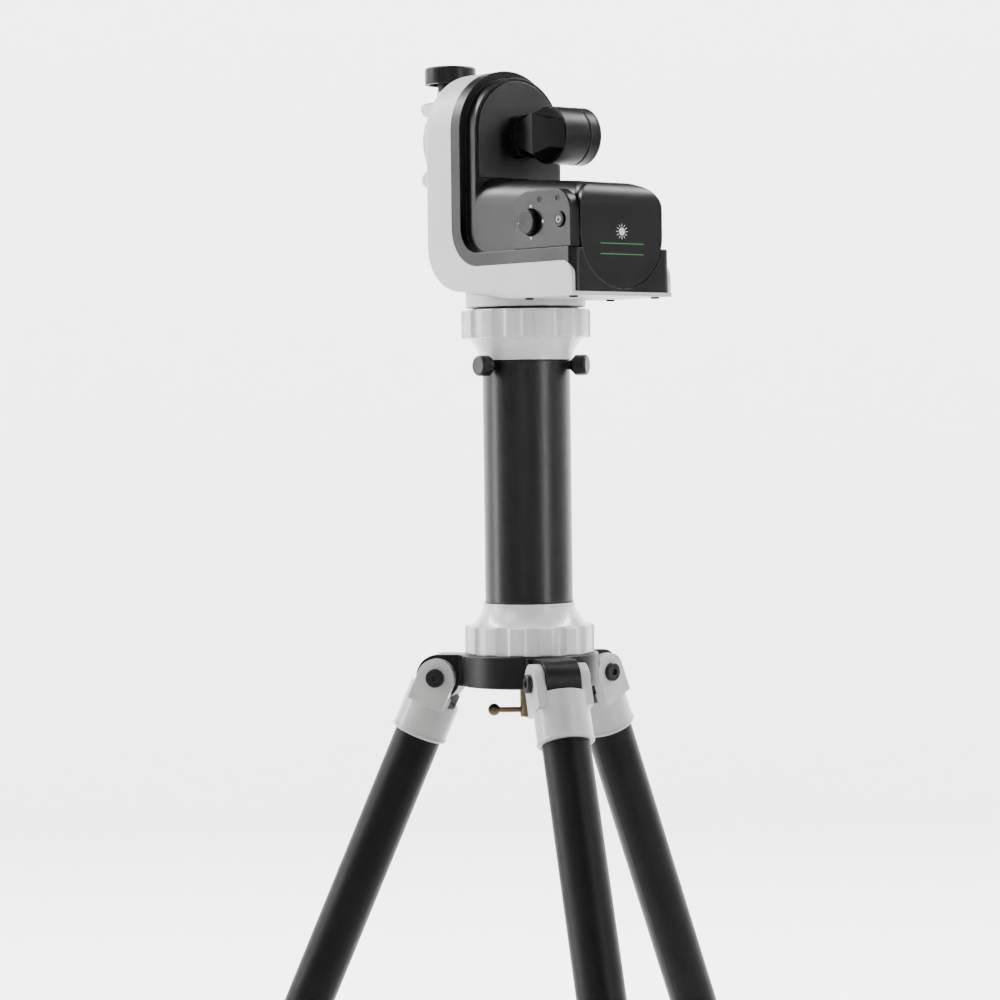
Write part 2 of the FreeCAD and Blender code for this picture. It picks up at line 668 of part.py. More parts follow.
def joystick_cap():
    """Round joystick cap on a stem that slides in the rocker when pressed."""
    c = stick_centre()
    cap = cyl(STICK_R, -HALF - 4.5, -HALF + 1.1, c, Y_AXIS)
    cap = fillet(cap, 1.2, lambda e: e.CenterOfMass.y < -HALF - 4)
    return cap.fuse(cyl(2.2, -HALF + 0.8, -36.2, c, Y_AXIS))


def power_button():
    key = cyl(POWER_R, -HALF - 1.4, -HALF + 2.4, power_centre(), Y_AXIS)
    key = fillet(key, 0.7, lambda e: e.CenterOfMass.y < -HALF - 1)
    return key.fuse(cyl(2.2, -HALF + 2.0, -36.4, power_centre(), Y_AXIS))


# ---- battery end ------------------------------------------------------------------------------
def cover_outline(grow):
    """Battery cover outline in YZ: rounded top corners and a half circle below."""
    half = 36.0 + grow
    top = HEAD_Z + 74.2 + grow
    radius = 17.0 + grow
    mid = HEAD_Z + 41.0
    k = radius * (1 - math.sqrt(0.5))
    points = [
        arc(V(0, -half, mid), V(0, 0, mid - half), V(0, half, mid)),
        line(V(0, half, mid), V(0, half, top - radius)),
        arc(V(0, half, top - radius), V(0, half - k, top - k), V(0, half - radius, top)),
        line(V(0, half - radius, top), V(0, -half + radius, top)),
        arc(V(0, -half + radius, top), V(0, -half + k, top - k), V(0, -half, top - radius)),
        line(V(0, -half, top - radius), V(0, -half, mid)),
    ]
    return Part.Face(Part.Wire(points))


def battery_cover():
    """Cap over the battery end: it wraps the body's rounded corner and pulls off along +X."""
    gap = 0.35
    face = cover_outline(0)
    face.translate(V(70, 0, 0))
    block = face.extrude(V(60, 0, 0))
    outer = sweep_y(body_profile(60, HEAD_END - 0.5, 1.2, BODY_CORNER), 60)
    inner = sweep_y(body_profile(-40, BODY_END + gap, gap, BODY_CORNER), 60)
    return largest(block.common(outer).cut(inner))


def battery_tray():
    """Black lower end piece with the cradle that holds the cells."""
    wall = rounded_rect(12.0, HALF - 0.3, 6.0)
    wall.translate(V(HEAD_END - 12.0, 0, HEAD_Z + PLATE_TOP))
    wall = wall.extrude(V(0, 0, TRAY_TOP - PLATE_TOP))
    wall = wall.common(box(BODY_END, 120, -60, 60, 0, 2000)).cut(outer_shell())
    cut = cover_outline(0.4)
    cut.translate(V(BODY_END - 1.0, 0, 0))
    wall = largest(wall.cut(cut.extrude(V(20, 0, 0))))
    cradle = head_box(62.0, BODY_END - 2.6, -29.0, 29.0, 4.0, 66.0)
    cradle = cradle.cut(head_box(63.5, BODY_END, -27.5, 27.5, 5.5, 64.5))
    tongue = head_box(BODY_END - 4.0, BODY_END + 0.5, -27.0, 27.0, PLATE_TOP + 0.4, 4.4)
    return largest(wall.fuse(cradle).fuse(tongue))


def battery_cells():
    """Eight AA cells lying across the head, four high and two deep."""
    cells = []
    for x in (71.0, 85.7):
        for row in range(4):
            z = HEAD_Z + 13.0 + 14.6 * row
            can = cyl(7.15, -25.0, 23.5, V(x, 0, z), Y_AXIS)
            cells.append(can.fuse(cyl(2.7, 23.5, 25.0, V(x, 0, z), Y_AXIS)))
    return Part.makeCompound(cells)


def base_plate():
    """White bottom plate with the round boss that sits over the pier."""
    plate = head_box(SLOPE_END + 0.2, HEAD_END, -HALF + WALL, HALF - WALL, 0, PLATE_TOP)
    lip = head_box(SHELL_END, HEAD_END, -HALF, HALF, 0, PLATE_TOP)
    collar = cyl(BOSS_R, HEAD_Z - BOSS_DROP, HEAD_Z + 18)
    collar = fillet(collar, 1.2, lambda e: e.CenterOfMass.z < HEAD_Z - BOSS_DROP + 0.1)
    collar = collar.cut(sweep_y(white_region(150.0), 80))
    collar = collar.cut(cyl(BOSS_R - 5.05, HEAD_Z + BOSS_TOP, HEAD_Z + 20))
    core = cyl(BOSS_R - 5.05, HEAD_Z - BOSS_DROP, HEAD_Z + BOSS_TOP)
    solid = plate.fuse(lip).fuse(collar).fuse(core)
    return largest(solid.cut(cyl(21.0, HEAD_Z - 10, HEAD_Z + 20)).removeSplitter())


def base_screws():
    """Four dark screws under the head, one near each corner of the bottom plate."""
    screws = []
    for x in (47.0, 92.0):
        for y in (-36.0, 36.0):
            head = cyl(3.0, -1.2, 0, V(x, y, HEAD_Z))
            screws.append(head.cut(cyl(1.3, -1.3, -0.4, V(x, y, HEAD_Z))))
    return Part.makeCompound(screws)


# ---- drives and inside ------------------------------------------------------------------------
def alt_worm_centre():
    return V(ALT_GEAR_X, 0, ALT_Z - WORM_OFFSET)


def az_worm_centre():
    return V(WORM_OFFSET, 0, AZ_GEAR_Z)


def worm(centre):
    """Worm on its shaft along Y; ring grooves stand for the thread."""
    body = cyl(WORM_R, -WORM_HALF, WORM_HALF, centre, Y_AXIS)
    pitch = 2.4
    for i in range(-4, 5):
        at = pitch * i
        body = body.cut(ring(WORM_R + 1, WORM_R - 1.2, at - 0.55, at + 0.55, centre, Y_AXIS))
    return body.fuse(cyl(WORM_SHAFT_R, -15.8, 24.0, centre, Y_AXIS))


def motor(centre):
    """Round geared motor along Y behind its worm, with a blind bore for the worm shaft."""
    can = cyl(MOTOR_R, 17.0, 39.0, centre, Y_AXIS)
    can = fillet(can, 0.8, lambda e: e.CenterOfMass.y > 38.9)
    return can.cut(cyl(WORM_SHAFT_R + RUN, 16.0, 24.5, centre, Y_AXIS))


def worm_blocks(centre, x0, x1, z0, z1):
    """Two bearing blocks either side of a worm, bored for its shaft."""
    blocks = box(x0, x1, -16.5, -13.0, z0, z1).fuse(box(x0, x1, 13.0, 17.0, z0, z1))
    return blocks.cut(cyl(WORM_SHAFT_R + RUN, -20, 20, centre, Y_AXIS))


def chassis():
    """Cast frame: a floor round the azimuth bearing and two uprights round the altitude bearings."""
    floor = head_box(0, 44, -30, 30, BOSS_TOP, 12).fuse(cyl(34.0, HEAD_Z + BOSS_TOP, HEAD_Z + 12))
    outer = head_box(-50, -46, -UPRIGHT_HALF, UPRIGHT_HALF, 38, 140)
    link = head_box(-50, -27, -UPRIGHT_HALF, UPRIGHT_HALF, 38, 42)
    inner = head_box(-31, -27, -UPRIGHT_HALF, UPRIGHT_HALF, BOSS_TOP, 140)
    frame = floor.fuse(link).fuse(outer).fuse(inner)
    alt, az = alt_worm_centre(), az_worm_centre()
    frame = frame.cut(box(az.x - MOTOR_R - 0.2, az.x + MOTOR_R + 0.2, 17.0, 40, HEAD_Z, HEAD_Z + 20))
    frame = frame.fuse(worm_blocks(alt, -47, -30, alt.z - 5, alt.z + 4.5))
    frame = frame.fuse(worm_blocks(az, az.x - 5, az.x + 5, HEAD_Z + 11, HEAD_Z + 24))
    frame = frame.cut(cyl(20.0, HEAD_Z + 5, HEAD_Z + 13))
    frame = frame.cut(cyl(BEARING_R, -60, 0, V(0, 0, ALT_Z), X_AXIS))
    return largest(frame.removeSplitter())


def altitude_bearings():
    at = V(0, 0, ALT_Z)
    outer = ring(BEARING_R, SHAFT_R + RUN, -50, -46, at, X_AXIS)
    inner = ring(BEARING_R, SHAFT_R + RUN, -31, -27, at, X_AXIS)
    return Part.makeCompound([outer, inner])


def azimuth_bearing():
    return ring(20.0, 12.0 + RUN, HEAD_Z + BOSS_TOP, HEAD_Z + 12)


def azimuth_spindle():
    """Fixed spindle on top of the pier: a thin flange, a threaded stub below and a journal above."""
    disc = cyl(36.0, UPPER_TOP, UPPER_TOP + 1.2)
    stub = cyl(5.0, UPPER_TOP - 11, UPPER_TOP)
    shoulder = cyl(15.0, UPPER_TOP, HEAD_Z + BOSS_TOP - 0.4)
    return disc.fuse(stub).fuse(shoulder).fuse(cyl(12.0, UPPER_TOP, HEAD_Z + 24))


def azimuth_gear():
    half = GEAR_WIDTH / 2
    centre = V(0, 0, AZ_GEAR_Z)
    wheel = toothed(GEAR_R, GEAR_TEETH, -half, half, centre, Z_AXIS, X_AXIS)
    return wheel.cut(cyl(12.0, -10, 10, centre))


def altitude_gear():
    half = GEAR_WIDTH / 2
    centre = V(ALT_GEAR_X, 0, ALT_Z)
    wheel = toothed(GEAR_R, GEAR_TEETH, -half, half, centre, X_AXIS, Z_AXIS)
    return wheel.cut(cyl(SHAFT_R, -10, 10, centre, X_AXIS))


def main_board():
    """Control board behind the pod, with its larger components."""
    board = head_box(42, 79, -34.6, -33.0, 26, 61)
    chips = [
        head_box(44, 52, -33.0, -31.0, 51, 59),
        head_box(44, 58, -33.0, -29.4, 29, 38),
        head_box(52, 60, -33.0, -28.4, 41, 47),
        head_box(66, 76, -33.0, -31.4, 34, 44),
    ]
    for chip in chips:
        board = board.fuse(chip)
    return board


# ---- altitude group ---------------------------------------------------------------------------
def altitude_shaft():
    return cyl(SHAFT_R, -61.0, -4.2, V(0, 0, ALT_Z), X_AXIS)


def saddle_plate():
    """White saddle: hub disc, back plate with its seat, fixed lower jaw and the lug of the clamp screw."""
    at = V(0, 0, ALT_Z)
    hub = cyl(30.0, -61.0, -57.0, at, X_AXIS)
    plate = cyl(SADDLE_R, SADDLE_FACE, -61.0, at, X_AXIS)
    plate = fillet(plate, 2.0, lambda e: e.BoundBox.XLength < 0.01 and e.BoundBox.YLength > 60)
    for low in (SEAT_HALF, -BAR_HALF):
        high = low + BAR_HALF - SEAT_HALF
        plate = plate.cut(box(SADDLE_FACE - 1, SADDLE_FACE + SEAT_GROOVE, -SADDLE_R - 1, SADDLE_R + 1,
                              ALT_Z + low, ALT_Z + high))
    lug = cyl(LUG_SCREW_R, ALT_Z + LUG_LOW, ALT_Z + LUG_HIGH, V(KNOB_X, 0, 0))
    arm = box(KNOB_X, SADDLE_FACE + 1, -LUG_SCREW_R, LUG_SCREW_R, ALT_Z + LUG_LOW, ALT_Z + LUG_HIGH)
    web = box(SADDLE_FACE, -63, -13, 13, ALT_Z + 24, ALT_Z + LUG_HIGH)
    solid = hub.fuse(plate).fuse(jaw_prism(-1, 11.0)).fuse(lug).fuse(arm).fuse(web)
    solid = solid.cut(cyl(3.0 + RUN, ALT_Z + 20, ALT_Z + 50, V(KNOB_X, 0, 0)))
    return solid.cut(cyl(SHAFT_R, -61.0, -50, at, X_AXIS)).removeSplitter()


def jaw_prism(side, thick):
    """Dovetail jaw along Y, rounded to the saddle's disc; side is +1 for the upper one, -1 for the lower."""
    reach = 12.0
    outer = SADDLE_FACE - reach
    flank = math.tan(math.radians(15.0)) * reach
    pts = [
        V(SADDLE_FACE, 0, side * BAR_HALF), V(outer, 0, side * (BAR_HALF - flank)),
        V(outer - 3, 0, side * (BAR_HALF - flank + 1)),
        V(JAW_OUT, 0, side * (BAR_HALF + 1)), V(JAW_OUT, 0, side * (BAR_HALF + thick - 2)),
        V(JAW_OUT + 2, 0, side * (BAR_HALF + thick)), V(SADDLE_FACE, 0, side * (BAR_HALF + thick)),
    ]
    face = Part.Face(Part.makePolygon(pts + pts[:1]))
    face.translate(V(0, -JAW_HALF, ALT_Z))
    bar = face.extrude(V(0, 2 * JAW_HALF, 0))
    return bar.common(cyl(SADDLE_R - 0.5, JAW_OUT - 1, SADDLE_FACE, V(0, 0, ALT_Z), X_AXIS))


def saddle_jaw():
    """Upper jaw, a nut on the clamp screw."""
    jaw = jaw_prism(1, 7.0)
    jaw = jaw.cut(box(SADDLE_FACE - 0.4, 0, -60, 60, ALT_Z, ALT_Z + 60))
    return jaw.cut(cyl(3.0 + RUN, ALT_Z, ALT_Z + 50, V(KNOB_X, 0, 0)))


def clamp_knob():
    """Large round knob, hollow below, moulded on the clamp screw."""
    at = V(KNOB_X, 0, ALT_Z)
    head = cyl(18.0, 42.5, 54.5, at)
    head = fillet(head, 1.8, lambda e: e.CenterOfMass.z > ALT_Z + 54)
    head = head.cut(ring(15.6, 9.0, 41, 49.5, at))
    neck = cyl(9.0, 37.8, 43, at)
    return head.fuse(neck).fuse(cyl(3.0, 23.5, 40, at))


def barrel_centre():
    return V(BARREL_X, 0, ALT_Z)


def sensor_neck():
    """Short round neck between the altitude shaft and the sun sensor."""
    neck = cyl(15.0, -4.2, 14.0, V(0, 0, ALT_Z), X_AXIS)
    neck = neck.common(box(-10, 20, BARREL_NEAR - 12, 40, 0, 2000))
    return largest(neck.cut(cyl(BARREL_R, -40, 60, barrel_centre(), Y_AXIS)).cut(sensor_nose()))


def sensor_barrel():
    """Sensor barrel along Y with its side neck; one flat on its upper side."""
    at = barrel_centre()
    body = cyl(BARREL_R, BARREL_NEAR, CAP_START - 0.8, at, Y_AXIS)
    spigot = cyl(BARREL_R - 1.2, BARREL_NEAR, CAP_START, at, Y_AXIS)
    body = body.fuse(spigot)
    body = body.cut(cyl(16.0, BARREL_NEAR + 4, CAP_START + 1, at, Y_AXIS))
    flat = box(BARREL_X + 2, BARREL_X + 30, BARREL_NEAR - 1, CAP_START + 1, 0, 60)
    flat.translate(V(0, 0, ALT_Z + BARREL_R - 1.1))
    return largest(body.cut(flat).fuse(sensor_neck()))


def sensor_cap():
    """Ring on the open end of the barrel, with a rebate for the window."""
    at = barrel_centre()
    cap = ring(BARREL_R, 16.0, CAP_START, BARREL_FAR, at, Y_AXIS)
    cap = fillet(cap, 1.2, lambda e: e.CenterOfMass.y > BARREL_FAR - 0.1 and e.BoundBox.ZLength > 36)
    return cap.cut(cyl(17.5, BARREL_FAR - 4.5, BARREL_FAR - 2.5, at, Y_AXIS))


def sensor_window():
    """Filter window inside the cap ring."""
    return cyl(17.5, BARREL_FAR - 4.5, BARREL_FAR - 2.5, barrel_centre(), Y_AXIS)


def sensor_nose():
    """Faceted cap on the near end: two upright facets meet in an upright ridge."""
    front = [(4.0, -11.2, 6.5), (24.0, -12.6, 14.0), (33.0, -5.0, 9.0)]
    back = [(3.0, 10.0), (21.0, 19.0), (38.5, 10.0)]
    near = [V(x, y, ALT_Z + z) for x, y, z in front]
    near += [V(x, y, ALT_Z - z) for x, y, z in reversed(front)]
    far = [V(x, BARREL_NEAR, ALT_Z + z) for x, z in back]
    far += [V(x, BARREL_NEAR, ALT_Z - z) for x, z in reversed(back)]
    faces = [
        polygon(near[0], near[1], near[4], near[5]),
        polygon(near[1], near[2], near[3], near[4]),
        polygon(*far),
    ]
    for i in range(6):
        j = (i + 1) % 6
        faces.append(polygon(near[i], near[j], far[j]))
        faces.append(polygon(near[i], far[j], far[i]))
    solid = Part.makeSolid(Part.makeShell(faces))
    if solid.Volume < 0:
        solid.reverse()
    return solid


def polygon(*points):
    return Part.Face(Part.makePolygon(list(points) + [points[0]]))


# ---- all sub-parts ----------------------------------------------------------------------------
def build():
    parts = {
        "tripod_hub": tripod_hub(),
        "lower_flange": flange(False),
        "pier_tube": pier_tube(),
        "upper_flange": flange(True),
        "leg_pivot_bolts": Part.makeCompound([pivot_bolt(a) for a in LEG_ANGLES]),
        "pier_lock_bolt": lock_bolt(),
        "pier_lock_bar": lock_bar(),
        "azimuth_spindle": azimuth_spindle(),
        "azimuth_gear": azimuth_gear(),
        "outer_shell": outer_shell(),
        "inner_cover": inner_cover(),
        "face_plate": face_plate(),
        "control_panel": control_panel(),
        "led_windows": led_windows(),
        "joystick_gimbal": joystick_gimbal(),
        "joystick_rocker": joystick_rocker(),
        "joystick_cap": joystick_cap(),
        "power_button": power_button(),
        "battery_cover": battery_cover(),
        "battery_tray": battery_tray(),
        "battery_cells": battery_cells(),
        "base_plate": base_plate(),
        "base_screws": base_screws(),
        "chassis": chassis(),
        "altitude_bearings": altitude_bearings(),
        "azimuth_bearing": azimuth_bearing(),
        "drive_motors": Part.makeCompound([motor(alt_worm_centre()), motor(az_worm_centre())]),
        "altitude_worm": worm(alt_worm_centre()),
        "azimuth_worm": worm(az_worm_centre()),
        "main_board": main_board(),
        "altitude_shaft": altitude_shaft(),
        "altitude_gear": altitude_gear(),
        "saddle_plate": saddle_plate(),
        "saddle_jaw": saddle_jaw(),
        "clamp_knob": clamp_knob(),
        "sensor_barrel": sensor_barrel(),
        "sensor_cap": sensor_cap(),
        "sensor_window": sensor_window(),
        "sensor_nose": sensor_nose(),
    }
    for i, angle in enumerate(THUMB_ANGLES, 1):
        parts[f"pier_thumb_screw_{i}"] = thumb_screw(angle)
    for i, angle in enumerate(LEG_ANGLES, 1):
        parts[f"leg_clevis_{i}"] = leg_clevis(angle)
        parts[f"leg_outer_tube_{i}"] = leg_outer_tube(angle)
        parts[f"leg_collar_{i}"] = leg_collar(angle)
        parts[f"leg_lock_knob_{i}"] = leg_lock_knob(angle)
        parts[f"leg_inner_tube_{i}"] = leg_inner_tube(angle)
        parts[f"leg_foot_{i}"] = leg_foot(angle)
    return parts


def main():
    os.makedirs("parts", exist_ok=True)
    for name, shape in build().items():
        box_mm = shape.BoundBox
        print(f"{name:20s} valid={shape.isValid()} solids={len(shape.Solids)} volume={shape.Volume:9.0f} "
              f"x {box_mm.XMin:7.1f} {box_mm.XMax:7.1f} y {box_mm.YMin:7.1f} {box_mm.YMax:7.1f} "
              f"z {box_mm.ZMin:7.1f} {box_mm.ZMax:7.1f}")
        shape.exportStep(f"parts/{name}.step")


main()
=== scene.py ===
import bpy
import bmesh
import json
import math
from mathutils import Matrix, Vector


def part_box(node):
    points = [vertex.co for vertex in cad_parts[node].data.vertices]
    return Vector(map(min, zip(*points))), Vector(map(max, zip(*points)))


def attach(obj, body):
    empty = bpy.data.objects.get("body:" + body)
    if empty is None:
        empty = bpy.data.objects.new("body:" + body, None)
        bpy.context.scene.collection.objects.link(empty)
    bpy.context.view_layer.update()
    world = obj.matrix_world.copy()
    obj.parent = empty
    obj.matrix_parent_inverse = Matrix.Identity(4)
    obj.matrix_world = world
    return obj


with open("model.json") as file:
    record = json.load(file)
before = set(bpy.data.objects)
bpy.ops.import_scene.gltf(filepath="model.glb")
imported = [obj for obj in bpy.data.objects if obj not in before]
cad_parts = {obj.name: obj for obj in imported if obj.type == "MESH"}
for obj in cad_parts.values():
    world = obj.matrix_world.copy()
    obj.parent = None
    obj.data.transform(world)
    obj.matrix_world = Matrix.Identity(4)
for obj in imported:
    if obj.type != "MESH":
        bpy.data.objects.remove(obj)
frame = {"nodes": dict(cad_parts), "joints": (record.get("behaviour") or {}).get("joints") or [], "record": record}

MM = 0.001
X = Vector((1, 0, 0))
Y = Vector((0, 1, 0))
Z = Vector((0, 0, 1))
SIDES = (1, 2, 3)                  # the three legs, and the three thumb screws

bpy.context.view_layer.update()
nodes = frame["nodes"]


# ---- materials --------------------------------------------------------------------------------
NOISE_MID = (0.3, 0.7)             # noise rarely leaves this band, so it is stretched from it
BEVEL_SAMPLES = 6
COAT_ROUGH = 0.18
BROAD = (22.0, 4.0, 0.55)          # mottling: scale, detail, roughness
SMUDGE = (60.0, 6.0, 0.7)          # patches of gloss and wear
GRAIN_DETAIL = 2.0
WEAR_REACH = 1.6                   # worn edges are this much wider than the softened ones
WEAR_DOT = (0.90, 0.995)           # rounded normal against the true one: fully worn, not worn
WEAR_RANGE = (0.1, 0.75)


def new_material(name):
    mat = bpy.data.materials.new(name)
    mat.use_nodes = True
    tree = mat.node_tree
    tree.nodes.clear()
    out = tree.nodes.new("ShaderNodeOutputMaterial")
    bsdf = tree.nodes.new("ShaderNodeBsdfPrincipled")
    tree.links.new(bsdf.outputs["BSDF"], out.inputs["Surface"])
    coords = tree.nodes.new("ShaderNodeTexCoord")
    return mat, tree, bsdf, coords.outputs["Object"]


def noise(tree, coords, scale, detail, roughness=0.55):
    node = tree.nodes.new("ShaderNodeTexNoise")
    node.inputs["Scale"].default_value = scale
    node.inputs["Detail"].default_value = detail
    node.inputs["Roughness"].default_value = roughness
    tree.links.new(coords, node.inputs["Vector"])
    return node.outputs["Fac"]


def remap(tree, value, low, high):
    node = tree.nodes.new("ShaderNodeMapRange")
    node.inputs["From Min"].default_value = NOISE_MID[0]
    node.inputs["From Max"].default_value = NOISE_MID[1]
    node.inputs["To Min"].default_value = low
    node.inputs["To Max"].default_value = high
    tree.links.new(value, node.inputs["Value"])
    return node.outputs["Result"]


def blend_colour(tree, factor, first, second):
    node = tree.nodes.new("ShaderNodeMix")
    node.data_type = "RGBA"
    node.inputs["A"].default_value = (*first, 1.0)
    node.inputs["B"].default_value = (*second, 1.0)
    tree.links.new(factor, node.inputs["Factor"])
    return node.outputs["Result"]


def soft_normal(tree, radius):
    """Normal that rounds the edges over a radius."""
    rounded = tree.nodes.new("ShaderNodeBevel")
    rounded.samples = BEVEL_SAMPLES
    rounded.inputs["Radius"].default_value = radius
    return rounded.outputs["Normal"]


def edge_mask(tree, radius, low, high):
    """1 on sharp outer edges and 0 on faces, from how far a rounded normal leaves the true one."""
    rounded = soft_normal(tree, radius)
    true = tree.nodes.new("ShaderNodeNewGeometry")
    dot = tree.nodes.new("ShaderNodeVectorMath")
    dot.operation = "DOT_PRODUCT"
    tree.links.new(rounded, dot.inputs[0])
    tree.links.new(true.outputs["Normal"], dot.inputs[1])
    node = tree.nodes.new("ShaderNodeMapRange")
    node.inputs["From Min"].default_value = high
    node.inputs["From Max"].default_value = low
    tree.links.new(dot.outputs["Value"], node.inputs["Value"])
    return node.outputs["Result"]


def surface(name, colour, second, rough, grain, bump, bump_depth=0.05, edge=0.5, worn=None,
            metallic=0.0, coat=0.0, specular=0.5, stretch=(1.0, 1.0, 1.0)):
    """Painted, moulded or turned surface: mottled colour, fine grain, softened and worn edges.

    rough is the range of roughness, grain the scale of the fine noise and worn the colour at the edges.
    bump_depth and edge, the radius that softens edges, are in mm.
    """
    mat, tree, bsdf, coords = new_material(name)
    mapping = tree.nodes.new("ShaderNodeMapping")
    mapping.inputs["Scale"].default_value = stretch
    tree.links.new(coords, mapping.inputs["Vector"])
    broad = noise(tree, coords, *BROAD)
    fine = noise(tree, mapping.outputs["Vector"], grain, GRAIN_DETAIL)
    smudge = noise(tree, coords, *SMUDGE)
    mixed = blend_colour(tree, remap(tree, broad, 0.0, 1.0), colour, second)
    if worn is not None:
        wear = tree.nodes.new("ShaderNodeMath")
        wear.operation = "MULTIPLY"
        tree.links.new(edge_mask(tree, edge * MM * WEAR_REACH, *WEAR_DOT), wear.inputs[0])
        tree.links.new(remap(tree, smudge, *WEAR_RANGE), wear.inputs[1])
        mix = tree.nodes.new("ShaderNodeMix")
        mix.data_type = "RGBA"
        mix.inputs["B"].default_value = (*worn, 1.0)
        tree.links.new(wear.outputs["Value"], mix.inputs["Factor"])
        tree.links.new(mixed, mix.inputs["A"])
        mixed = mix.outputs["Result"]
    tree.links.new(mixed, bsdf.inputs["Base Color"])
    tree.links.new(remap(tree, smudge, *rough), bsdf.inputs["Roughness"])
    bsdf.inputs["Metallic"].default_value = metallic
    bsdf.inputs["Specular IOR Level"].default_value = specular
    bsdf.inputs["Coat Weight"].default_value = coat
    bsdf.inputs["Coat Roughness"].default_value = COAT_ROUGH
    relief = tree.nodes.new("ShaderNodeBump")
    relief.inputs["Strength"].default_value = bump
    relief.inputs["Distance"].default_value = bump_depth * MM
    tree.links.new(fine, relief.inputs["Height"])
    tree.links.new(soft_normal(tree, edge * MM), relief.inputs["Normal"])
    tree.links.new(relief.outputs["Normal"], bsdf.inputs["Normal"])
    return mat


white_shell = surface(
    "white_shell_finish", (0.55, 0.55, 0.555), (0.60, 0.60, 0.604),
    (0.36, 0.48), 2600.0, 0.12, edge=0.8, worn=(0.70, 0.70, 0.70))
white_gloss = surface(
    "white_gloss_finish", (0.56, 0.563, 0.567), (0.62, 0.622, 0.625),
    (0.2, 0.32), 900.0, 0.06, edge=1.0, worn=(0.74, 0.74, 0.74), coat=0.35)
white_leg = surface(
    "white_leg_finish", (0.43, 0.427, 0.42), (0.49, 0.487, 0.48),
    (0.24, 0.36), 900.0, 0.06, edge=1.0, worn=(0.62, 0.62, 0.61), coat=0.25)
black_plastic = surface(
    "black_plastic_finish", (0.003, 0.003, 0.0034), (0.005, 0.005, 0.0054),
    (0.32, 0.44), 3200.0, 0.22, edge=0.7, worn=(0.05, 0.05, 0.052), specular=0.22)
black_fine = surface(
    "black_cover_finish", (0.003, 0.003, 0.0036), (0.005, 0.005, 0.0056),
    (0.28, 0.38), 4200.0, 0.12, edge=0.9, worn=(0.06, 0.06, 0.062), specular=0.24)
plate_plastic = surface(
    "face_plate_finish", (0.005, 0.005, 0.0055), (0.008, 0.008, 0.0085),
    (0.38, 0.5), 2400.0, 0.3, edge=0.4, worn=(0.06, 0.06, 0.06), specular=0.4)
black_metal = surface(
    "black_metal_finish", (0.004, 0.004, 0.004), (0.006, 0.006, 0.006),
    (0.34, 0.44), 2200.0, 0.2, edge=0.6, worn=(0.09, 0.09, 0.09), specular=0.2)
tube_coat = surface(
    "tube_coat_finish", (0.0035, 0.0035, 0.0035), (0.005, 0.005, 0.005),
    (0.3, 0.37), 1500.0, 0.3, bump_depth=0.06, worn=(0.07, 0.07, 0.07), specular=0.34)
leg_coat = surface(
    "leg_coat_finish", (0.003, 0.003, 0.003), (0.0045, 0.0045, 0.0045),
    (0.4, 0.5), 1500.0, 0.3, bump_depth=0.06, worn=(0.07, 0.07, 0.07), specular=0.16)
inner_alu = surface(
    "inner_tube_finish", (0.42, 0.43, 0.44), (0.5, 0.5, 0.51),
    (0.3, 0.45), 900.0, 0.12, edge=0.4, worn=(0.7, 0.7, 0.7), metallic=1.0, stretch=(1.0, 1.0, 0.04))
rubber = surface(
    "foot_rubber_finish", (0.014, 0.014, 0.014), (0.022, 0.021, 0.020),
    (0.62, 0.82), 1400.0, 0.5, bump_depth=0.1, edge=1.0, worn=(0.05, 0.048, 0.045), specular=0.3)
bronze = surface(
    "bronze_finish", (0.115, 0.088, 0.052), (0.17, 0.13, 0.078),
    (0.28, 0.44), 1600.0, 0.15, edge=0.4, worn=(0.36, 0.29, 0.18), metallic=1.0)
screw_black = surface(
    "screw_black_finish", (0.004, 0.004, 0.004), (0.007, 0.007, 0.007),
    (0.26, 0.38), 2500.0, 0.15, edge=0.4, worn=(0.12, 0.12, 0.12), specular=0.3)
brass = surface(
    "gear_brass_finish", (0.56, 0.42, 0.18), (0.66, 0.5, 0.24),
    (0.22, 0.38), 1800.0, 0.12, edge=0.2, worn=(0.8, 0.66, 0.36), metallic=1.0)
steel = surface(
    "turned_steel_finish", (0.44, 0.44, 0.45), (0.55, 0.55, 0.56),
    (0.2, 0.35), 2200.0, 0.12, edge=0.3, worn=(0.72, 0.72, 0.72), metallic=1.0, stretch=(1.0, 0.1, 1.0))
board_green = surface(
    "board_finish", (0.01, 0.09, 0.035), (0.015, 0.13, 0.05),
    (0.3, 0.5), 1200.0, 0.2)
cell_sleeve = surface(
    "cell_sleeve_finish", (0.05, 0.05, 0.06), (0.09, 0.08, 0.07),
    (0.2, 0.34), 700.0, 0.1)
lamp_red = surface(
    "lamp_finish", (0.05, 0.012, 0.010), (0.03, 0.008, 0.008),
    (0.34, 0.44), 500.0, 0.05, specular=0.2)
filter_glass = surface(
    "filter_glass_finish", (0.004, 0.004, 0.006), (0.007, 0.006, 0.010),
    (0.03, 0.07), 300.0, 0.02, coat=1.0, specular=0.8)
mark_white = surface(
    "mark_white_finish", (0.62, 0.62, 0.62), (0.7, 0.7, 0.7),
    (0.4, 0.55), 3000.0, 0.1, edge=0.1)
mark_green = surface(
    "mark_green_finish", (0.04, 0.27, 0.07), (0.05, 0.34, 0.09),
    (0.35, 0.5), 3000.0, 0.1, edge=0.1)

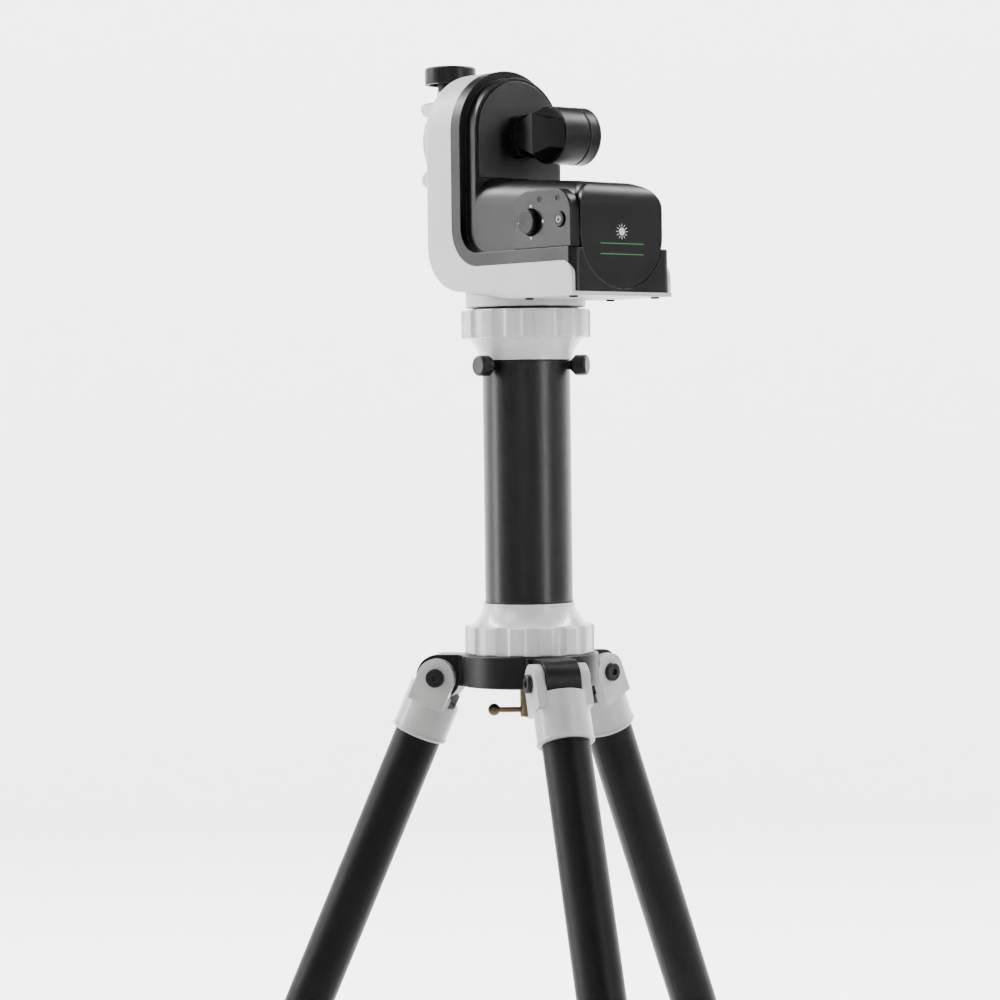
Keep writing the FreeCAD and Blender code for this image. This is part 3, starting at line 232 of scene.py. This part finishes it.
finishes = {
    "white_paint": white_gloss, "white_shell": white_shell, "black_metal": black_metal,
    "black_plastic": black_plastic, "plate_plastic": plate_plastic, "leg_tube": leg_coat,
    "inner_tube": inner_alu, "foot_rubber": rubber, "bronze": bronze, "black_screw": screw_black,
    "gear_brass": brass, "steel": steel, "board_green": board_green, "cell_wrap": cell_sleeve,
    "lamp": lamp_red, "filter_glass": filter_glass,
}
own_finish = {
    "pier_tube": tube_coat, "inner_cover": black_fine, "battery_cover": black_fine,
    "control_panel": black_fine, "saddle_jaw": white_gloss,
}
own_finish.update({f"leg_clevis_{k}": white_leg for k in SIDES})

for part in frame["record"]["subparts"]:
    obj = nodes[part["node"]]
    mat = own_finish.get(part["node"], finishes[part["material_slot"]])
    obj.data.materials.clear()
    obj.data.materials.append(mat)
    for poly in obj.data.polygons:
        poly.material_index = 0


# ---- places taken from the CAD ----------------------------------------------------------------
def centre(node):
    lo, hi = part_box(node)
    return (Vector(lo) + Vector(hi)) / 2


def corner(node, which):
    return Vector(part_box(node)[which])


# ---- mesh helpers -----------------------------------------------------------------------------
SHARP_ANGLE = math.radians(35.0)


def piece(name, bm, mat, body):
    """Turns a bmesh drawn in the row frame into a shown piece that rides on a body."""
    bmesh.ops.recalc_face_normals(bm, faces=bm.faces)
    mesh = bpy.data.meshes.new(name)
    bm.to_mesh(mesh)
    bm.free()
    obj = bpy.data.objects.new(name, mesh)
    bpy.context.scene.collection.objects.link(obj)
    mesh.materials.append(mat)
    for poly in mesh.polygons:
        poly.use_smooth = True
    mesh.set_sharp_from_angle(angle=SHARP_ANGLE)
    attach(obj, body)


def prism(bm, outline, origin, frame_axes, low, high):
    """Closed prism of a 2-D outline (metres) on a face, from low to high along its normal."""
    right, up, out = frame_axes
    rings = []
    for level in (low, high):
        rings.append([bm.verts.new(origin + right * a + up * b + out * level) for a, b in outline])
    bm.faces.new(rings[0][::-1])
    bm.faces.new(rings[1])
    count = len(outline)
    for i in range(count):
        j = (i + 1) % count
        bm.faces.new((rings[0][i], rings[0][j], rings[1][j], rings[1][i]))


def circle(radius, count):
    step = 2 * math.pi / count
    return [(radius * math.cos(i * step), radius * math.sin(i * step)) for i in range(count)]


def arc_band(inner, outer, start, end, count):
    """Outline of part of a flat ring."""
    angles = [start + (end - start) * i / count for i in range(count + 1)]
    far = [(outer * math.cos(t), outer * math.sin(t)) for t in angles]
    near = [(inner * math.cos(t), inner * math.sin(t)) for t in reversed(angles)]
    return far + near


def lathe(bm, profile, origin, axis, count):
    """Turned ring: profile is (radius, along) pairs, closed on itself."""
    side = axis.orthogonal().normalized()
    other = axis.cross(side)
    rings = []
    for i in range(count):
        t = 2 * math.pi * i / count
        spoke = side * math.cos(t) + other * math.sin(t)
        rings.append([bm.verts.new(origin + spoke * r + axis * h) for r, h in profile])
    corners = len(profile)
    for i in range(count):
        j = (i + 1) % count
        for k in range(corners):
            m = (k + 1) % corners
            bm.faces.new((rings[i][k], rings[j][k], rings[j][m], rings[i][m]))


def scaled(points):
    """Points given in mm, in metres."""
    return [(a * MM, b * MM) for a, b in points]


def joint_of(body):
    """The joint that carries a body."""
    return next(j for j in frame["joints"] if j["child"] == body)


# ---- marks on the control pod -----------------------------------------------------------------
INK_DEEP = 0.2 * MM
INK_PROUD = 0.06 * MM
ARROW = ((1.6, 0.0), (0.2, 1.15), (-0.35, 0.9), (-0.35, -0.9), (0.2, -1.15))     # points outwards
# angle of each arrow in degrees and its distance in mm
ARROWS = {
    "arrow_right": (0.0, 11.8),
    "arrow_up": (90.0, 10.2),
    "arrow_left": (180.0, 11.8),
    "arrow_down": (270.0, 10.2),
}
POWER_ARC = (1.7 * MM, 2.15 * MM, math.radians(125), math.radians(415))   # inner, outer, start, end
POWER_BAR = [(0.4, -0.22), (2.5, -0.22), (2.5, 0.22), (0.4, 0.22)]


def turned(points, angle, shift=0.0):
    """Points in mm moved along the first axis by shift, then turned by angle, in metres."""
    c, s = math.cos(angle), math.sin(angle)
    return [(((a + shift) * c - b * s) * MM, ((a + shift) * s + b * c) * MM) for a, b in points]


face_y = corner("control_panel", 0).y
pod_axes = (X, Z, -Y)
stick = centre("joystick_cap")
stick_face = Vector((stick.x, face_y, stick.z))
for name, (angle, reach) in ARROWS.items():
    bm = bmesh.new()
    prism(bm, turned(ARROW, math.radians(angle), reach), stick_face, pod_axes, -INK_DEEP, INK_PROUD)
    piece("stick_" + name, bm, mark_white, "head")

button = centre("power_button")
button_face = Vector((button.x, corner("power_button", 0).y, button.z))
bm = bmesh.new()
prism(bm, arc_band(*POWER_ARC, 30), button_face, pod_axes, -INK_DEEP, INK_PROUD)
prism(bm, turned(POWER_BAR, math.pi / 2), button_face, pod_axes, -INK_DEEP, INK_PROUD)
piece("power_symbol", bm, mark_white, "power_key")

# bezels round the two lamps
BEZEL = [(1.55, -0.3), (2.1, -0.3), (2.05, 0.12), (1.7, 0.16)]     # radius, height in mm
lamp_low, lamp_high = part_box("led_windows")
lamp_r = (lamp_high.z - lamp_low.z) / 2
for k, x in enumerate((lamp_low.x + lamp_r, lamp_high.x - lamp_r), 1):
    bm = bmesh.new()
    lathe(bm, scaled(BEZEL), Vector((x, face_y, lamp_low.z + lamp_r)), -Y, 32)
    piece(f"lamp_bezel_{k}", bm, black_plastic, "head")

# joystick: raised rim on the cap and eight grip bars round it
RIM = [(5.6, -0.4), (6.6, -0.4), (6.45, -0.1), (5.8, -0.1)]
GRIPS = 8
GRIP = [(-0.35, -1.6), (0.35, -1.6), (0.25, 1.6), (-0.25, 1.6)]
GRIP_R = 7.4 * MM
GRIP_BACK = 2.4 * MM
GRIP_PROUD = 0.85 * MM
cap_face = Vector((stick.x, corner("joystick_cap", 0).y, stick.z))
bm = bmesh.new()
lathe(bm, scaled(RIM), cap_face, -Y, 48)
piece("stick_rim", bm, black_plastic, "stick")
for k in range(GRIPS):
    t = 2 * math.pi * k / GRIPS
    out = Vector((math.cos(t), 0, math.sin(t)))
    bm = bmesh.new()
    at = cap_face + Y * GRIP_BACK + out * GRIP_R
    prism(bm, scaled(GRIP), at, (Y.cross(out), Y, out), 0.0, GRIP_PROUD)
    piece(f"stick_grip_{k + 1}", bm, black_plastic, "stick")

# ---- battery cover: plain sun picture above two green lines -----------------------------------
COVER_INK = 0.03 * MM
LINES_UP = 0.375                   # height of the lines as a part of the cover's
LINE = [(-19.0, -0.22), (19.0, -0.22), (19.0, 0.22), (-19.0, 0.22)]
LINE_APART = 7.0 * MM
SUN_UP = 11.5 * MM
SUN_R = 2.6 * MM
RAY = [(3.4, -0.3), (5.2, -0.12), (5.2, 0.12), (3.4, 0.3)]
RAYS = 12

cover_low, cover_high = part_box("battery_cover")
cover_axes = (Y, Z, X)
lines_at = Vector((cover_high.x, 0, cover_low.z + (cover_high.z - cover_low.z) * LINES_UP))
for k, side in enumerate((1, -1), 1):
    bm = bmesh.new()
    at = lines_at + Z * (side * LINE_APART / 2)
    prism(bm, scaled(LINE), at, cover_axes, -INK_DEEP, COVER_INK)
    piece(f"cover_line_{k}", bm, mark_green, "battery_lid")
sun_at = lines_at + Z * SUN_UP
bm = bmesh.new()
prism(bm, circle(SUN_R, 32), sun_at, cover_axes, -INK_DEEP, COVER_INK)
for k in range(RAYS):
    prism(bm, turned(RAY, 2 * math.pi * k / RAYS), sun_at, cover_axes, -INK_DEEP, COVER_INK)
piece("cover_sun", bm, mark_white, "battery_lid")

# ---- clamp knob of the saddle -----------------------------------------------------------------
KNOB_RIBS = 36
KNOB_RIB = [(-0.7, -3.6), (0.7, -3.6), (0.5, 3.6), (-0.5, 3.6)]
KNOB_RIB_DOWN = 6.6 * MM
KNOB_RIB_LEVELS = (-0.8 * MM, -0.02 * MM)           # kept just inside the knob's own radius
KNOB_RING = [(11.8, -0.6), (13.2, -0.6), (12.9, -0.02), (12.1, -0.02)]
knob_low, knob_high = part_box("clamp_knob")
knob_r = (knob_high.x - knob_low.x) / 2
knob_top = Vector((knob_low.x + knob_r, 0, knob_high.z))
bm = bmesh.new()
for k in range(KNOB_RIBS):
    t = 2 * math.pi * k / KNOB_RIBS
    out = Vector((math.cos(t), math.sin(t), 0))
    at = knob_top - Z * KNOB_RIB_DOWN + out * knob_r
    prism(bm, scaled(KNOB_RIB), at, (Z.cross(out), Z, out), *KNOB_RIB_LEVELS)
piece("knob_ribs", bm, black_plastic, "knob")
bm = bmesh.new()
lathe(bm, scaled(KNOB_RING), knob_top, Z, 64)
piece("knob_top_ring", bm, black_plastic, "knob")

# ---- thumb screws of the pier -----------------------------------------------------------------
THUMB_FACE = 44.0 * MM             # outer end of each screw's head from the pier's axis
THUMB_HEAD_R = 6.65 * MM
THUMB_RING = [(2.6, -0.6), (4.0, -0.6), (3.7, -0.05), (2.9, -0.05)]
THUMB_BARS = 14
THUMB_BAR = [(-0.4, -2.4), (0.4, -2.4), (0.3, 2.4), (-0.3, 2.4)]
THUMB_BAR_BACK = 4.7 * MM
THUMB_BAR_PROUD = 0.4 * MM
for k in SIDES:
    joint = joint_of(f"thumb_{k}")
    out = Vector(joint["axis"])
    pivot = Vector(joint["pos_m"])
    face = pivot + out * (THUMB_FACE - pivot.xy.length)
    side = out.orthogonal().normalized()
    other = out.cross(side)
    bm = bmesh.new()
    lathe(bm, scaled(THUMB_RING), face, out, 40)
    for n in range(THUMB_BARS):
        t = 2 * math.pi * n / THUMB_BARS
        spoke = side * math.cos(t) + other * math.sin(t)
        at = face - out * THUMB_BAR_BACK + spoke * THUMB_HEAD_R
        prism(bm, scaled(THUMB_BAR), at, (out.cross(spoke), out, spoke), 0.0, THUMB_BAR_PROUD)
    piece(f"thumb_screw_grip_{k}", bm, screw_black, f"thumb_{k}")


# ---- raised beads on legs, pier tube and sensor -----------------------------------------------
BEAD_SUNK = 0.4 * MM
BEAD_TAPER = 0.7                   # outer width against the width at the surface


def bead(bm, radius, size, at, axis, count):
    """Raised ring round a turned part: size is half its width and its height above the surface, in mm."""
    half, proud = size
    foot, top = radius - BEAD_SUNK, radius + proud * MM
    profile = [
        (foot, -half * MM),
        (top, -half * MM * BEAD_TAPER),
        (top, half * MM * BEAD_TAPER),
        (foot, half * MM),
    ]
    lathe(bm, profile, at, axis, count)


# places are along the leg from its pivot, in mm
COLLAR_R = 20.5 * MM
COLLAR_BEADS = (533.0, 537.0, 571.5)
COLLAR_BEAD = (0.7, 0.35)
FOOT_R = 15.8 * MM
FOOT_BEADS = (612.0, 616.0, 620.0)
FOOT_BEAD = (0.9, 0.4)
CLEVIS_R = 19.0 * MM
CLEVIS_LIP = 41.2
LIP_BEAD = (1.2, 0.5)
for k in SIDES:
    down = Vector(joint_of(f"lower_leg_{k}")["axis"])
    pivot = Vector(joint_of(f"leg_{k}")["pos_m"])
    bm = bmesh.new()
    for along in COLLAR_BEADS:
        bead(bm, COLLAR_R, COLLAR_BEAD, pivot + down * (along * MM), down, 48)
    piece(f"leg_collar_rings_{k}", bm, black_plastic, f"leg_{k}")
    bm = bmesh.new()
    for along in FOOT_BEADS:
        bead(bm, FOOT_R, FOOT_BEAD, pivot + down * (along * MM), down, 48)
    piece(f"foot_rings_{k}", bm, rubber, f"lower_leg_{k}")
    bm = bmesh.new()
    bead(bm, CLEVIS_R, LIP_BEAD, pivot + down * (CLEVIS_LIP * MM), down, 64)
    piece(f"clevis_lip_{k}", bm, white_leg, f"leg_{k}")

TUBE_BEAD = (0.8, 0.22)
TUBE_BEAD_IN = 0.9 * MM            # from the tube's two ends
tube_low, tube_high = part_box("pier_tube")
tube_r = (tube_high.x - tube_low.x) / 2
for k, z in enumerate((tube_low.z + TUBE_BEAD_IN, tube_high.z - TUBE_BEAD_IN), 1):
    bm = bmesh.new()
    bead(bm, tube_r, TUBE_BEAD, Z * z, Z, 96)
    piece(f"tube_end_ring_{k}", bm, black_metal, "pier")

CAP_BEAD = (0.5, 0.22)
CAP_BEAD_LOW = 1.2 * MM            # from the cap's end nearer the camera
CAP_BEAD_HIGH = 2.2 * MM           # from its far end
cap_low, cap_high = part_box("sensor_cap")
sensor_at = centre("sensor_window")
sensor_r = cap_high.z - sensor_at.z
for k, y in enumerate((cap_low.y + CAP_BEAD_LOW, cap_high.y - CAP_BEAD_HIGH), 1):
    bm = bmesh.new()
    bead(bm, sensor_r, CAP_BEAD, Vector((sensor_at.x, y, sensor_at.z)), Y, 96)
    piece(f"sensor_bead_{k}", bm, black_plastic, "altitude")

# ---- ribs under the hub, between the lock bolt and its rim ------------------------------------
HUB_RIBS = 9
HUB_RIB = [(12.5, -0.9), (39.8, -0.9), (39.8, 0.9), (12.5, 0.9)]
HUB_RIB_TURN = math.radians(37.0)
HUB_RIB_LEVELS = (1.0 * MM, 8.8 * MM)
HUB_THICK = 22.0 * MM
hub_bottom = Vector((0, 0, corner("lower_flange", 0).z - HUB_THICK))
bm = bmesh.new()
for n in range(HUB_RIBS):
    t = HUB_RIB_TURN + 2 * math.pi * n / HUB_RIBS
    out = Vector((math.cos(t), math.sin(t), 0))
    prism(bm, scaled(HUB_RIB), hub_bottom, (out, Z.cross(out), Z), *HUB_RIB_LEVELS)
piece("hub_ribs", bm, black_metal, "pier")

# ---- stage, light and camera ------------------------------------------------------------------
AZIMUTH = math.radians(50.0)       # of the camera, from the front of the keys towards the battery end
TO_CAMERA = Vector((math.sin(AZIMUTH), -math.cos(AZIMUTH), 0))
RIGHT = Vector((math.cos(AZIMUTH), math.sin(AZIMUTH), 0))

sweep = surface(
    "sweep_finish", (0.86, 0.86, 0.86), (0.88, 0.88, 0.88),
    (0.6, 0.7), 60.0, 0.02, bump_depth=0.2, edge=1.0)

# round bowl: flat floor, bend and short wall, in metres
FLOOR_R = 4.0
BEND = 2.0
WALL_TOP = 3.4
TURNS = 96
CURVE_STEPS = 16
path = [(0.0, 0.0), (FLOOR_R, 0.0)]
for i in range(1, CURVE_STEPS + 1):
    t = math.pi / 2 * i / CURVE_STEPS
    path.append((FLOOR_R + BEND * math.sin(t), BEND * (1 - math.cos(t))))
path.append((FLOOR_R + BEND, WALL_TOP))
verts = [(0.0, 0.0, 0.0)]
faces = []
for radius, height in path[1:]:
    for i in range(TURNS):
        t = 2 * math.pi * i / TURNS
        verts.append((radius * math.cos(t), radius * math.sin(t), height))
for i in range(TURNS):
    faces.append((0, 1 + i, 1 + (i + 1) % TURNS))
for ring in range(len(path) - 2):
    for i in range(TURNS):
        j = (i + 1) % TURNS
        low, high = 1 + ring * TURNS, 1 + (ring + 1) * TURNS
        faces.append((low + i, high + i, high + j, low + j))
mesh = bpy.data.meshes.new("sweep")
mesh.from_pydata(verts, [], faces)
for poly in mesh.polygons:
    poly.use_smooth = True
bowl = bpy.data.objects.new("sweep", mesh)
mesh.materials.append(sweep)
bpy.context.scene.collection.objects.link(bowl)

OBJECT_MIDDLE = Vector((0, 0, 0.75))
WALL_BEHIND = -5.6                 # the lit wall's distance and height, which the sweep lights aim at
WALL_AIM_Z = 1.3


def area_light(name, angle, distance, height, size, power, aim=OBJECT_MIDDLE):
    """Softbox at an angle to the right of the camera, seen from the object, turned to the point aim."""
    t = math.radians(angle)
    direction = TO_CAMERA * math.cos(t) + RIGHT * math.sin(t)
    data = bpy.data.lights.new(name, "AREA")
    data.shape = "RECTANGLE"
    data.size, data.size_y = size
    data.energy = power
    obj = bpy.data.objects.new(name, data)
    obj.location = direction * distance + Vector((0, 0, height))
    look = aim - obj.location
    obj.rotation_euler = look.to_track_quat("-Z", "Y").to_euler()
    bpy.context.scene.collection.objects.link(obj)


# name, angle in degrees, distance and height in metres, size in metres, power in watts
area_light("key_right", 48.0, 2.6, 1.2, (0.42, 2.2), 40.0)
area_light("key_left", -94.0, 2.4, 1.1, (0.5, 2.2), 46.0)
area_light("top_fill", -60.0, 1.9, 2.9, (1.2, 1.2), 30.0)
area_light("front_fill", -12.0, 3.6, 1.7, (0.7, 0.7), 13.0)
SWEEP_SPREAD = 62.0                # each sweep light's angle from straight behind, in degrees
SWEEP_CROSS = 0.4                  # how far past the middle each one aims, in metres
for k, side in enumerate((-1, 1), 1):
    aim = TO_CAMERA * WALL_BEHIND - RIGHT * (side * SWEEP_CROSS) + Z * WALL_AIM_Z
    area_light(f"sweep_light_{k}", 180.0 - side * SWEEP_SPREAD, 2.2, 2.6, (2.5, 1.5), 620.0, aim)

world = bpy.data.worlds.new("studio")
bpy.context.scene.world = world
world.use_nodes = True
shade = world.node_tree.nodes["Background"]
shade.inputs["Color"].default_value = (0.95, 0.97, 1.0, 1.0)
shade.inputs["Strength"].default_value = 0.06

CAMERA_AWAY = 2.189                # from the pier's axis, fitted to the photograph, in metres
CAMERA_UP = 0.772
CAMERA_ROLL = -0.0125              # radians
camera_data = bpy.data.cameras.new("camera")
camera = bpy.data.objects.new("camera", camera_data)
bpy.context.scene.collection.objects.link(camera)
camera_data.sensor_width = 36.0
camera_data.lens = 115.2
camera_data.shift_x = -0.027
camera_data.shift_y = -0.075
camera_data.clip_start, camera_data.clip_end = 0.05, 60.0
camera.location = TO_CAMERA * CAMERA_AWAY + Z * CAMERA_UP
aim_turn = (-TO_CAMERA).to_track_quat("-Z", "Y").to_matrix().to_4x4()
roll = Matrix.Rotation(CAMERA_ROLL, 4, "Z")
camera.matrix_world = Matrix.Translation(camera.location) @ aim_turn @ roll
bpy.context.scene.camera = camera
